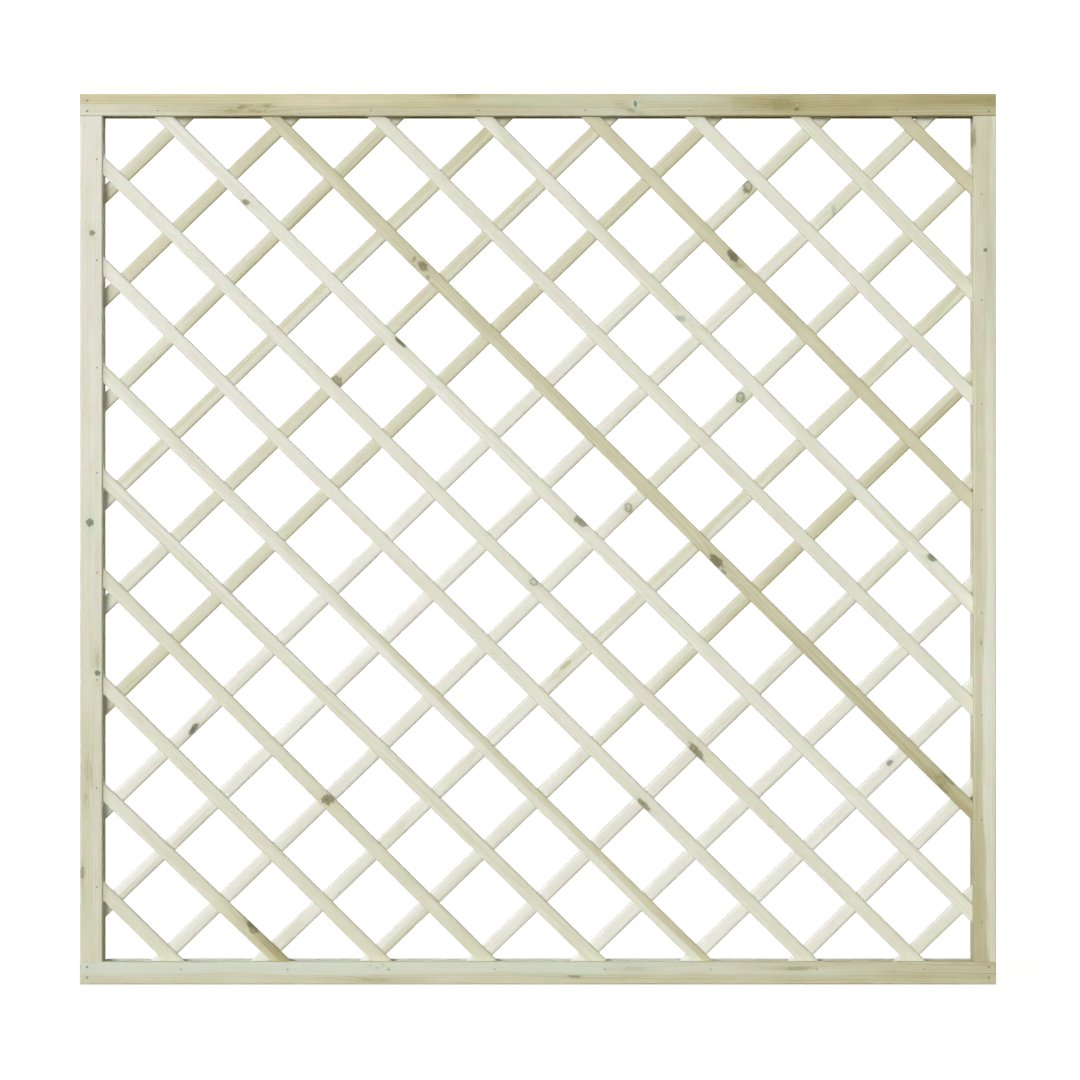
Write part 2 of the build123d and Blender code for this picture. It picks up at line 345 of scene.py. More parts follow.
# Sky: its level to the sides, what it gains upwards and towards the front, and its colour
sky_level = 0.27
sky_rise = 0.04
sky_front = 0.1
sky_colour = (1.0, 0.985, 0.9, 1.0)
white = (1.0, 1.0, 1.0, 1.0)

# Stage: the floor's width, how strongly the floor, the backdrop and the surround shine white to
# the camera, and the floor's colours, as the camera and as the object's light see it
floor_size = 60.0
floor_level = 0.9
backdrop_level = 1.0
surround_level = 1.0
backdrop_sides = 64
shown_floor_colour = (0.25, 0.25, 0.25, 1.0)
lit_floor_colour = (0.23, 0.195, 0.115, 1.0)


# Node helpers


def linear(red, green, blue):
    """A colour of 0 to 255 in sRGB as linear values with alpha."""
    shares = [value / 255 for value in (red, green, blue)]
    values = [s / 12.92 if s <= 0.04045 else ((s + 0.055) / 1.055) ** 2.4 for s in shares]
    return (*values, 1.0)


class Tree:
    """A node tree that is being built. Each method adds nodes and returns the last one's output."""

    def __init__(self, tree):
        self.tree = tree
        self.tree.nodes.clear()

    def node(self, kind, inputs=None, **settings):
        """Adds a node. Its inputs are outputs of other nodes, or plain values."""
        made = self.tree.nodes.new("ShaderNode" + kind)
        for key, value in settings.items():
            setattr(made, key, value)
        for key, value in (inputs or {}).items():
            if isinstance(value, bpy.types.NodeSocket):
                self.tree.links.new(value, made.inputs[key])
            else:
                made.inputs[key].default_value = value
        return made

    def shader(self, kind, inputs):
        return self.node(kind, inputs).outputs[0]

    def math(self, operation, a, b=0.0, clamp=False):
        made = self.node("Math", {0: a, 1: b}, operation=operation, use_clamp=clamp)
        return made.outputs[0]

    def plus(self, a, b):
        return self.math("ADD", a, b)

    def minus(self, a, b):
        return self.math("SUBTRACT", a, b)

    def times(self, a, b):
        return self.math("MULTIPLY", a, b)

    def sway(self, noise, reach):
        """A noise of 0 to 1 as a change to both sides of zero."""
        return self.times(self.minus(noise, 0.5), reach)

    def vector(self, operation, a, b=(0.0, 0.0, 0.0)):
        made = self.node("VectorMath", {0: a, 1: b}, operation=operation)
        return made.outputs["Value" if operation == "LENGTH" else "Vector"]

    def parts(self, vector):
        return self.node("SeparateXYZ", {0: vector}).outputs

    def joined(self, x, y, z):
        return self.node("CombineXYZ", {0: x, 1: y, 2: z}).outputs[0]

    def attribute(self, name):
        return self.node("Attribute", attribute_name=name).outputs["Vector"]

    def noise(self, vector, scale=1.0, detail=2.0):
        inputs = {"Vector": vector, "Scale": scale, "Detail": detail}
        return self.node("TexNoise", inputs, noise_dimensions="3D").outputs["Fac"]

    def step(self, value, low, high, start=0.0, end=1.0):
        """A smooth rise or fall from start to end as the value goes from low to high."""
        inputs = {"Value": value, "From Min": low, "From Max": high, "To Min": start, "To Max": end}
        return self.node("MapRange", inputs, interpolation_type="SMOOTHSTEP").outputs["Result"]

    def between(self, share, a, b):
        """A number that goes from a to b as the share goes from 0 to 1."""
        return self.node("Mix", {0: share, 2: a, 3: b}, data_type="FLOAT").outputs[0]

    def mix(self, share, a, b, blend="MIX"):
        """The same for two colours."""
        made = self.node("Mix", {0: share, 6: a, 7: b}, data_type="RGBA", blend_type=blend)
        return made.outputs[2]

    def ramp(self, value, stops):
        """Colours at shares of 0 to 1."""
        made = self.node("ValToRGB", {"Fac": value})
        elements = made.color_ramp.elements
        while len(elements) < len(stops):
            elements.new(0.5)
        for element, (share, colour) in zip(elements, stops):
            element.position = share
            element.color = colour
        return made.outputs["Color"]

    def bump(self, height, strength, distance):
        inputs = {"Height": height, "Strength": strength, "Distance": distance}
        return self.node("Bump", inputs).outputs["Normal"]

    def principled(self, colour, roughness, normal, metallic=0.0, specular=0.5):
        inputs = {"Base Color": colour, "Roughness": roughness, "Normal": normal}
        inputs |= {"Metallic": metallic, "Specular IOR Level": specular}
        return self.shader("BsdfPrincipled", inputs)

    def by_ray(self, lit, shown):
        """One shader for the rays that show the stage itself, which are camera, glossy and
        transmission rays, and another for those that carry its light."""
        path = self.node("LightPath").outputs
        share = self.math("MAXIMUM", path["Is Camera Ray"], path["Is Glossy Ray"])
        share = self.math("MAXIMUM", share, path["Is Transmission Ray"])
        return self.shader("MixShader", {0: share, 1: lit, 2: shown})

    def surface(self, shader, kind="OutputMaterial"):
        self.node(kind, {"Surface": shader})


def new_material(name):
    material = bpy.data.materials.new(name)
    material.use_nodes = True
    return material, Tree(material.node_tree)


def placed(name, data):
    """A new object in the scene."""
    made = bpy.data.objects.new(name, data)
    bpy.context.scene.collection.objects.link(made)
    return made


# Materials

# The wood's colours at olive shares, of 0 to 255 in sRGB
olive_least = -0.15
olive_most = 1.55
frame_stops = (
    (olive_least, (232, 231, 223)),
    (0.15, (222, 221, 209)),
    (0.35, (216, 215, 198)),
    (0.65, (204, 202, 177)),
    (1.05, (184, 179, 144)),
    (olive_most, (156, 148, 104)),
)
lath_stops = (
    (olive_least, (232, 231, 224)),
    (0.0, (228, 228, 220)),
    (0.25, (221, 221, 208)),
    (0.5, (213, 213, 193)),
    (0.75, (206, 204, 177)),
    (1.0, (195, 191, 160)),
    (olive_most, (168, 161, 120)),
)

# Tints that the wood's colour is multiplied with, and colours that cover it
pinkish_tint = linear(255, 249, 250)
greenish_tint = linear(249, 255, 247)
yellow_tint = linear(255, 250, 228)
# The next tint is painted shade, for inner faces that lie in shade
painted_shade_tint = linear(255, 252, 238)
early_end_tint = linear(226, 220, 205)
late_end_tint = linear(172, 163, 138)
preservative = linear(203, 211, 197)
preservative_strength = 0.75
fleck_colour = linear(150, 142, 110)
halo_colour = linear(197, 211, 191)
heart_pale = linear(178, 171, 130)
heart_brown = linear(116, 109, 74)
heart_dark = linear(84, 79, 52)
heart_green = linear(112, 128, 104)
rim_brown = linear(92, 85, 58)
rim_green = linear(78, 90, 66)

# A knot, by the distance from its middle in half sizes: between which two distances its halo,
# its core and its hollow come up from the outside, and its dark rim starts and ends
halo_fade = (2.2, 0.5)
core_fade = (1.6, 0.2)
hollow_fade = (0.85, 0.5)
rim_start = (0.45, 0.9)
rim_end = (1.35, 0.95)

# How strong a knot's halo and its heart's green are for their green share, and how strong its
# rim is for its darkness
halo_strength = 0.6
heart_green_strength = 0.55
rim_strength = 0.65

# How fine each pattern in the wood is along, across and through it, per metre
rim_fineness = (120.0, 160.0, 160.0)
seam_fineness = (4.0, 30.0, 30.0)
wander_fineness = (2.2, 22.0, 22.0)
patch_fineness = (13.0, 34.0, 34.0)
hue_fineness = (34.0, 60.0, 60.0)
fleck_fineness = (70.0, 420.0, 420.0)
fibre_fineness = (30.0, 900.0, 900.0)
uneven_fineness = 120.0

# Streaks: how fine they are along the wood and outwards through its rings, per metre, and which
# layer of the noise they are taken from
broad_streaks = (1.4, 60.0, 3.0)
narrow_streaks = (5.0, 300.0, 7.0)
narrow_share = 0.55

# Growth rings: how far apart they are, how far they wander along the wood and swell round a knot,
# by how many rings their spacing varies, and the mean share of their dark wood
ring_spacing = 3.4 * MM
ring_wander = 9 * MM
ring_swell = 7 * MM
ring_unevenness = 1.6
ring_mean_share = 0.3

# How much patches and the painted shade of inner faces change the olive share, how uneven a
# knot's rim is, how soft the line is where two edges' tones meet, and how deep the grain's relief
# is
patch_strength = 0.35
painted_shade_strength = 0.15
rim_unevenness = 1.5
seam_softness = 0.16
grain_relief = 0.3 * MM


class Wood:
    """What a wooden mesh's attributes say about a place, as outputs in its material's tree.

    grain is the place along, across and through the log, from its pith. knot_x and knot_y are
    its distance from the nearest knot, in half lengths and half widths, and darkness, hollow and
    greenish are that knot's look. The knot attribute's third value is painted shade: how much
    darker and more olive an inner face that lies in shade is made. end is 1 on end grain. The olive
    and green shares are those of the lower and of the upper edge, and side is the place across,
    counted from where the two edges' tones meet."""

    def __init__(self, t):
        self.t = t
        self.grain = t.attribute("grain")
        (self.along, self.across, self.through) = t.parts(self.grain)
        # The third value is painted shade on inner faces that lie in shade
        (self.knot_x, self.knot_y, self.inner_painted_shade) = t.parts(t.attribute("knot"))
        (self.darkness, self.hollow, self.greenish) = t.parts(t.attribute("knot_look"))
        (self.olive_low, self.olive_high, self.end) = t.parts(t.attribute("tint"))
        (self.side, self.green_low, self.green_high) = t.parts(t.attribute("layer"))

    def pattern(self, fineness, detail=2.0):
        """A noise that is as fine as given along, across and through the wood."""
        return self.t.noise(self.t.vector("MULTIPLY", self.grain, fineness), detail=detail)

    def streaks(self, radius, kind, detail=2.0):
        """A noise that follows the rings."""
        (fine_along, fine_outwards, layer) = kind
        t = self.t
        place = t.joined(t.times(self.along, fine_along), t.times(radius, fine_outwards), layer)
        return t.noise(place, detail=detail)


def knot_distances(t, wood, flow):
    """How far a place is from the nearest knot, with an uneven rim, how far it is in the shape of
    the wood that flows round the knot, and how near it is to a knot that has some darkness."""
    rim = t.sway(wood.pattern(rim_fineness, 3.0), rim_unevenness)
    away = t.plus(t.vector("LENGTH", t.joined(wood.knot_x, wood.knot_y, 0.0)), rim)
    around = t.joined(t.math("DIVIDE", wood.knot_x, flow), t.times(wood.knot_y, 0.8), 0.0)
    around = t.plus(t.vector("LENGTH", around), t.times(rim, 0.6))
    near = t.math("EXPONENT", t.times(around, -1.0))
    return away, around, t.times(near, t.step(wood.darkness, 0.0, 0.1))


def edge_tones(t, wood, seam_wave):
    """The olive and the green share. The two edges' tones meet along a wavy line."""
    wave = t.sway(wood.pattern(seam_fineness, 3.0), seam_wave)
    high = t.step(t.plus(wood.side, wave), -seam_softness, seam_softness)
    olive = t.between(high, wood.olive_low, wood.olive_high)
    return olive, t.between(high, wood.green_low, wood.green_high)


def growth_rings(t, wood, near):
    """The distance from the pith, by rings that wander along the grain and flow round a knot, and
    how much a place belongs to the dark late wood of its ring."""
    wander = t.sway(wood.pattern(wander_fineness), ring_wander)
    radius = t.plus(t.vector("LENGTH", t.joined(0.0, wood.across, wood.through)), wander)
    radius = t.plus(radius, t.times(near, ring_swell))
    uneven = t.noise(t.joined(0.0, t.times(radius, uneven_fineness), 0.0), detail=1.0)
    turns = t.plus(t.math("DIVIDE", radius, ring_spacing), t.times(uneven, ring_unevenness))
    phase = t.math("FRACT", turns)
    return radius, t.times(t.step(phase, 0.35, 0.86), t.step(phase, 0.9, 1.0, 1.0, 0.0))


def olive_colour(t, shade, stops):
    """The wood's plain colour, from cream to olive."""
    span = olive_most - olive_least
    shade = t.math("DIVIDE", t.minus(shade, olive_least), span, clamp=True)
    return t.ramp(shade, [((place - olive_least) / span, linear(*tone)) for place, tone in stops])


def tinted(t, wood, colour, green):
    """Pinkish and greenish patches, the preservative's green, and painted shade on inner faces that
    lie in shade.
    """
    hue = wood.pattern(hue_fineness)
    colour = t.mix(t.step(hue, 0.5, 0.72), colour, pinkish_tint, "MULTIPLY")
    colour = t.mix(t.step(hue, 0.5, 0.28), colour, greenish_tint, "MULTIPLY")
    covered = t.math("MULTIPLY", green, preservative_strength, clamp=True)
    colour = t.mix(covered, colour, preservative)
    yellow = t.math("MULTIPLY", green, -1.0, clamp=True)
    colour = t.mix(yellow, colour, yellow_tint, "MULTIPLY")
    # Painted shade: inner faces that lie in shade are tinted darker and more olive
    return t.mix(wood.inner_painted_shade, colour, painted_shade_tint, "MULTIPLY")


def flecked(t, wood, colour, fibre):
    """Fine fibres, and dark flecks."""
    fine = t.step(fibre, 0.25, 0.75, 0.98, 1.015)
    colour = t.mix(1.0, colour, t.joined(fine, fine, fine), "MULTIPLY")
    fleck = wood.pattern(fleck_fineness, 1.0)
    return t.mix(t.step(fleck, 0.76, 0.84, 0.0, 0.5), colour, fleck_colour)


def knotted(t, wood, colour, away, around, core):
    """Knots: a pale green halo or none, a core with rings of its own that may be hollow, and a
    dark rim."""
    halo = t.times(t.times(wood.greenish, halo_strength), t.step(around, *halo_fade))
    colour = t.mix(halo, colour, halo_colour)
    inner = t.joined(t.times(away, 3.0), t.times(wood.knot_x, 1.2), 0.0)
    heart = t.mix(t.step(t.noise(inner, detail=1.0), 0.3, 0.7), heart_pale, heart_brown)
    heart = t.mix(t.step(wood.darkness, 0.5, 1.0), heart, heart_dark)
    heart = t.mix(t.times(wood.greenish, heart_green_strength), heart, heart_green)
    hollow = t.times(wood.hollow, t.step(away, *hollow_fade))
    filled = t.step(hollow, 0.0, 1.0, 1.0, 0.25)
    solid = t.times(core, t.step(wood.darkness, 0.0, 0.8, 0.0, 0.95))
    colour = t.mix(t.times(solid, filled), colour, heart)
    band = t.times(t.step(away, *rim_start), t.step(away, *rim_end))
    rim = t.mix(wood.greenish, rim_brown, rim_green)
    return t.mix(t.times(band, t.times(wood.darkness, rim_strength)), colour, rim)


def pine(name, stops, ring_strength, streak_strength, seam_wave, knot_flow):
    """Planed pine, with colours at olive shares. The strengths are how much the rings and the
    streaks change the olive share, seam_wave is how far the line wanders where the two edges'
    tones meet, and knot_flow is how drawn out the wood round a knot is."""
    (material, t) = new_material(name)
    wood = Wood(t)
    (away, around, near) = knot_distances(t, wood, knot_flow)
    (olive, green) = edge_tones(t, wood, seam_wave)
    (radius, late) = growth_rings(t, wood, near)
    narrow = wood.streaks(radius, narrow_streaks, 1.0)
    fibre = wood.pattern(fibre_fineness)
    core = t.step(away, *core_fade)

    shade = t.plus(olive, t.sway(wood.streaks(radius, broad_streaks), streak_strength))
    shade = t.plus(shade, t.sway(narrow, narrow_share * streak_strength))
    shade = t.plus(shade, t.sway(wood.pattern(patch_fineness), patch_strength))
    shade = t.plus(shade, t.times(t.minus(late, ring_mean_share), ring_strength))
    shade = t.plus(shade, t.times(near, t.step(wood.greenish, 0.0, 1.0, 0.6, 0.1)))
    # Painted shade: inner faces that lie in shade are made more olive, so darker
    shade = t.plus(shade, t.times(wood.inner_painted_shade, painted_shade_strength))
    colour = olive_colour(t, shade, stops)
    colour = tinted(t, wood, colour, green)
    colour = flecked(t, wood, colour, fibre)
    colour = knotted(t, wood, colour, away, around, core)

    # End grain is darker, and its rings are stronger
    end_tint = t.mix(late, early_end_tint, late_end_tint)
    colour = t.mix(wood.end, colour, t.mix(1.0, colour, end_tint, "MULTIPLY"))

    height = t.plus(t.times(late, 0.5), t.times(narrow, 0.6))
    normal = t.bump(t.plus(height, t.times(core, 0.6)), 0.3, grain_relief)
    roughness = t.step(fibre, 0.2, 0.8, 0.66, 0.8)
    t.surface(t.principled(colour, roughness, normal, specular=0.3))
    return material


# Galvanised wire: how fine its clouds and specks are, their colours, and how deep its relief is
cloud_fineness = 420.0
speck_fineness = 1600.0
zinc_stops = ((0.3, (132, 122, 100)), (0.55, (150, 142, 120)), (0.8, (166, 160, 140)))
speck_colour = linear(104, 88, 62)
zinc_relief = 0.05 * MM


def zinc(name):
    """Dull galvanised wire: a clouded zinc coat with darker specks."""
    (material, t) = new_material(name)
    place = t.node("TexCoord").outputs["Object"]
    cloud = t.noise(place, scale=cloud_fineness, detail=3.0)
    speck = t.noise(place, scale=speck_fineness, detail=2.0)
    colour = t.ramp(cloud, [(share, linear(*tone)) for share, tone in zinc_stops])
    colour = t.mix(t.step(speck, 0.56, 0.7, 0.0, 0.6), colour, speck_colour)
    normal = t.bump(speck, 0.3, zinc_relief)
    roughness = t.step(cloud, 0.3, 0.7, 0.42, 0.62)
    t.surface(t.principled(colour, roughness, normal, metallic=0.35))
    return material


frame_pine = pine("frame_pine", frame_stops, 0.25, 0.6, seam_wave=1.3, knot_flow=3.0)
lath_pine = pine("lath_pine", lath_stops, 0.2, 0.35, seam_wave=0.8, knot_flow=1.4)
galvanised = zinc("galvanised_zinc")


# Swept pieces


class Shell:
    """A piece as rings of points at stations along it, joined by four-sided cells."""

    def __init__(self, rings):
        (stations, self.around) = rings.shape[:2]
        self.last = stations - 1
        self.points = [point for ring in rings for point in ring]
        self.cells = {(i, j) for i in range(self.last) for j in range(self.around)}
        self.faces = []

    def index(self, station, place):
        return station * self.around + place % self.around

    def add(self, points):
        """Adds points and returns their indices."""
        first = len(self.points)
        self.points += list(points)
        return list(range(first, len(self.points)))

    def band(self, near, far):
        """Faces between two closed loops with as many points each."""
        count = len(near)
        for k in range(count):
            after = (k + 1) % count
            self.faces.append((near[k], near[after], far[after], far[k]))

    def cap(self, station):
        """One face over the end ring."""
        self.faces.append([self.index(station, j) for j in range(self.around)])

    def recess(self, station, place, radius, depth, inward):
        """A round blind hole whose middle is a point of the grid. It takes the place of the four
        cells round that point, and its circle starts towards the corner of the first of them."""
        middle = self.index(station, place)
        centre = self.points[middle]
        along = unit(self.points[self.index(station + 1, place)] - centre)
        across = unit(self.points[self.index(station, place + 1)] - centre)
        for i in (station - 1, station):
            for j in (place - 1, place):
                self.cells.discard((i, j % self.around))
        turn = ((-1, -1), (-1, 0), (-1, 1), (0, 1), (1, 1), (1, 0), (1, -1), (0, -1))
        outer = [self.index(station + i, place + j) for i, j in turn]
        start = math.radians(first_corner_angle)
        angles = [start - 2 * math.pi * k / recess_sides for k in range(recess_sides)]
        circle = np.array([math.cos(a) * along + math.sin(a) * across for a in angles])
        rim = self.add(centre + (radius + recess_rim) * circle)
        throat = self.add(centre + radius * circle + recess_rim * inward)
        floor = self.add(centre + radius * circle + depth * inward)
        for k in range(len(outer)):
            after = (k + 1) % len(outer)
            (first, second, third) = (2 * k, 2 * k + 1, (2 * k + 2) % recess_sides)
            self.faces.append((outer[k], outer[after], rim[third], rim[second]))
            self.faces.append((outer[k], rim[second], rim[first]))
        self.band(rim, throat)
        self.band(throat, floor)
        self.points[middle] = centre + depth * inward
        for k in range(recess_sides):
            self.faces.append((floor[k], floor[(k + 1) % recess_sides], middle))

    def all_faces(self):
        sides = [
            (self.index(i, j), self.index(i, j + 1), self.index(i + 1, j + 1), self.index(i + 1, j))
            for i, j in sorted(self.cells)
        ]
        return sides + self.faces


def unit(vector):
    return vector / np.linalg.norm(vector)


def in_panel(x, z):
    """A place or direction in the middle plane of the panel."""
    return np.array([x, 0.0, z])


def spaced(marks, step):
    """Places from the first mark to the last, through every mark, at most a step apart."""
    places = [marks[0]]
    for before, after in zip(marks, marks[1:]):
        count = max(1, math.ceil((after - before) / step))
        places += [before + (after - before) * k / count for k in range(1, count + 1)]
    return places


def thinned(marks, least):
    """Marks in order, without those that come too soon after the one before or before the end."""
    kept = [marks[0]]
    for mark in marks[1:-1]:
        if mark - kept[-1] > least and marks[-1] - mark > least:
            kept.append(mark)
    return kept + [marks[-1]]


class Timber:
    """How the wood of a piece lies: its grain's directions, its pith and its marks."""

    def __init__(
        self,
        name,
        origin,
        along,
        across,
        length,
        half_width,
        olive,
        green=((0.0,), (0.0,)),
        seam=(0.0,),
        inner_painted_shade=0.0,
    ):
        self.name = name
        self.origin = origin
        self.axes = np.array([along, across, np.cross(along, across)])
        self.length = length
        self.half_width = half_width
        self.olive = olive
        self.green = green
        self.seam = seam
        self.inner_painted_shade = inner_painted_shade
        self.draws = np.random.default_rng([ord(letter) for letter in name])
        angle = self.draws.uniform(0, 2 * math.pi)
        distance = self.draws.uniform(*pith_distance)
        self.pith = np.array([0.0, distance * math.cos(angle), distance * math.sin(angle)])
        self.slope = self.draws.uniform(-grain_lean, grain_lean, 2)
        self.log_place = self.draws.uniform(0, log_length)
        self.knots = [
            (
                share_along * length,
                share_across * half_width,
                long * MM / 2,
                wide * MM / 2,
                math.radians(turn),
                look,
            )
            for share_along, share_across, long, wide, turn, *look in knots.get(name, [])
        ]

    def places(self, points):
        """Points as places along, across and through the piece."""
        return (points - self.origin) @ self.axes.T

    def grain(self, points):
        """The same places, seen from the log's pith."""
        places = self.places(points) - self.pith
        places[:, 1:] -= places[:, :1] * self.slope
        places[:, 0] += self.log_place
        return places

    def from_knot(self, places, knot):
        """Places as half lengths and half widths from the middle of a knot."""
        (u, v, half_length, half_width, turn, _) = knot
        (du, dv) = (places[..., 0] - u, places[..., 1] - v)
        x = (du * math.cos(turn) + dv * math.sin(turn)) / half_length
        y = (dv * math.cos(turn) - du * math.sin(turn)) / half_width
        return np.stack([x, y], axis=-1)

    def share(self, table, places):
        """A share at each place, from a table along the piece."""
        return np.interp(places[:, 0] / self.length, np.linspace(0, 1, len(table)), table)


def marks_round(place, reach):
    """Places a short step apart, to both sides of a mark and a little past its reach."""
    count = math.ceil(mark_margin * reach / mark_step)
    return [place + k * mark_step for k in range(-count, count + 1)]


def set_attribute(mesh, name, domain, values):
    attribute = mesh.attributes.new(name, "FLOAT_VECTOR", domain)
    attribute.data.foreach_set("vector", values.astype(np.float32).ravel())


def nearest_knots(timber, places, middles, face_of):
    """For each face corner, its place from the knot nearest to its face, and that knot's look."""
    from_knot = np.full((len(places), 2), knot_reach)
    look = np.zeros((len(places), 3))
    nearest = np.full(len(middles), knot_reach)
    for knot in timber.knots:
        distance = np.linalg.norm(timber.from_knot(middles, knot), axis=1)
        closer = distance < nearest
        nearest[closer] = distance[closer]
        here = closer[face_of]
        from_knot[here] = timber.from_knot(places[here], knot)
        look[here] = knot[-1]
    return from_knot, look


def mark_wood(mesh, timber, points):
    """Gives a mesh the attributes that the wood's material reads, as the class Wood says."""
    places = timber.places(points)
    corners = np.zeros(len(mesh.loops), np.int32)
    mesh.loops.foreach_get("vertex_index", corners)
    face_of = np.repeat(np.arange(len(mesh.polygons)), [face.loop_total for face in mesh.polygons])
    middles = timber.places(np.array([face.center for face in mesh.polygons]))
    normals = np.array([face.normal for face in mesh.polygons])
    is_inner = normals @ timber.axes[1] < -inner_face_share
    is_end = np.abs(normals @ timber.axes[0]) > end_grain_share

    (from_knot, look) = nearest_knots(timber, places[corners], middles, face_of)
    # Painted shade for inner faces that lie in shade, carried as the knot attribute's third value
    painted_inner_shade = timber.inner_painted_shade * is_inner[face_of]
    (olive_low, olive_high) = (timber.share(table, places)[corners] for table in timber.olive)
    (green_low, green_high) = (timber.share(table, places) for table in timber.green)
    side = places[:, 1] / timber.half_width - timber.share(timber.seam, places)
    set_attribute(mesh, "grain", "POINT", timber.grain(points))
    set_attribute(mesh, "knot", "CORNER", np.column_stack([from_knot, painted_inner_shade]))
    set_attribute(mesh, "knot_look", "CORNER", look)
    set_attribute(mesh, "tint", "CORNER", np.column_stack([olive_low, olive_high, is_end[face_of]]))
    set_attribute(mesh, "layer", "POINT", np.column_stack([side, green_low, green_high]))


def new_piece(shell, timber, material):
    """The finished object: the mesh with its normals, its wood attributes and its material."""
    mesh = bpy.data.meshes.new(timber.name + "_wood")
    mesh.from_pydata([tuple(point) for point in shell.points], [], shell.all_faces())
    work = bmesh.new()
    work.from_mesh(mesh)
    bmesh.ops.recalc_face_normals(work, faces=work.faces)
    work.to_mesh(mesh)
    work.free()
    mesh.shade_smooth()
    mesh.set_sharp_from_angle(angle=math.radians(sharp_angle))
    mesh.materials.append(material)
    mark_wood(mesh, timber, np.array(shell.points))

    piece = placed(timber.name + "_wood", mesh)
    piece.modifiers.new("even_normals", "WEIGHTED_NORMAL").keep_sharp = True
    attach(piece, body)
    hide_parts(timber.name)


(body,) = frame["bodies"]


# Laths

# A lath's angle is searched in turns that go from the widest to the least, in degrees
widest_turn = 5
least_turn = 5.5e-7


def corner_arc(middle, wide, deep, start):
    """The points inside a quarter round, from an angle in degrees, without its two ends."""
    shares = [k / corner_segments for k in range(1, corner_segments)]
    angles = [math.radians(start + 90 * share) for share in shares]
    return [(middle[0] + wide * math.cos(a), middle[1] + deep * math.sin(a)) for a in angles]


def lath_section(half_wide, y_front, y_back):
    """A lath's outline as (across, y), from its front face on."""
    (wide, deep) = (lath_round_width, lath_round_depth)
    flat = half_wide - wide
    columns = np.linspace(-flat, flat, face_columns)
    outline = [(v, y_front) for v in columns]
    outline += corner_arc((flat, y_front + deep), wide, deep, -90)
    outline += [(half_wide, y_front + deep), (half_wide, y_back - deep)]
    outline += corner_arc((flat, y_back - deep), wide, deep, 0)
    outline += [(v, y_back) for v in columns[::-1]]
    outline += corner_arc((-flat, y_back - deep), wide, deep, 90)
    outline += [(-half_wide, y_back - deep), (-half_wide, y_front + deep)]
    outline += corner_arc((-flat, y_front + deep), wide, deep, 180)
    return np.array(outline)


def outward(outline):
    """The direction out of the wood at each point of an outline."""
    tangents = np.roll(outline, -1, 0) - np.roll(outline, 1, 0)
    normals = np.stack([tangents[:, 1], -tangents[:, 0]], axis=1)
    return normals / np.linalg.norm(normals, axis=1, keepdims=True)


def node_places(name):
    """The points of a CAD node in the plane of the panel."""
    return np.array([(v.co.x, v.co.z) for v in frame["nodes"][name].data.vertices])


def extent_across(places, angle):
    """The lowest and highest offset of places from a line through the origin at an angle."""
    offsets = places @ (-math.sin(angle), math.cos(angle))
    return offsets.min(), offsets.max()


def lath_line(name):
    """A lath's angle in the panel, the offset of its centre line from the origin, and its width:
    its angle is the one across which it is narrowest."""
    places = node_places(name)
    angle = math.radians(-45 if name.startswith("front") else 45)
    step = math.radians(widest_turn)
    while step > math.radians(least_turn):
        tries = (angle - step, angle, angle + step)
        best = min(tries, key=lambda a: np.ptp(extent_across(places, a)))
        step = step if best != angle else step / 2
        angle = best
    (low, high) = extent_across(places, angle)
    return angle, (low + high) / 2, high - low


def run_inside(place, direction):
    """How far a line runs back and on from a place until it leaves the lath field."""
    (low, high) = (field_low[[0, 2]], field_high[[0, 2]])
    ways = np.sort([(low - place) / direction, (high - place) / direction], axis=0)
    return ways[0].max(), ways[1].min()


def wear_along(draws, length):
    """How worn an arris is at each place along a piece, from 0 to 1, as knots of a curve."""
    marks = np.arange(0, length + wear_length, wear_length)
    return marks, draws.random(len(marks)) ** 2


def leaning(olive, lean):
    """A lath's olive shares at its lower and at its upper edge, from those of its middle."""
    marks = np.linspace(0, 1, lath_tone_marks)
    middle = np.interp(marks, np.linspace(0, 1, len(olive)), olive)
    half = np.interp(marks, np.linspace(0, 1, len(lean)), lean) / 2
    return middle - half, middle + half


def lath_timber(name, olive):
    """A lath's wood, along the line of its CAD solid."""
    (angle, offset, width) = lath_line(name)
    direction = np.array([math.cos(angle), math.sin(angle)])
    side = np.array([-math.sin(angle), math.cos(angle)])
    (back, on) = run_inside(side * offset, direction)
    start = side * offset + direction * back
    return Timber(
        name,
        origin=in_panel(*start),
        along=in_panel(*direction),
        across=in_panel(*side),
        length=on - back,
        half_width=width / 2,
        olive=leaning(olive, lath_lean_shares.get(name, (0.0,))),
    )


def lath_dents(timber):
    """Chips and dents in the long edges: (place along, side, half length, depth)."""
    dents = [
        (share * timber.length, hand, long * MM / 2, deep * MM)
        for share, hand, long, deep in chips.get(timber.name, [])
    ]
    for _ in range(round(dents_per_metre * timber.length)):
        place = timber.draws.uniform(*dent_place_shares) * timber.length
        hand = timber.draws.choice((-1, 1))
        half_length = timber.draws.uniform(*dent_length) / 2
        dents.append((place, hand, half_length, timber.draws.uniform(*dent_depth)))
    return dents


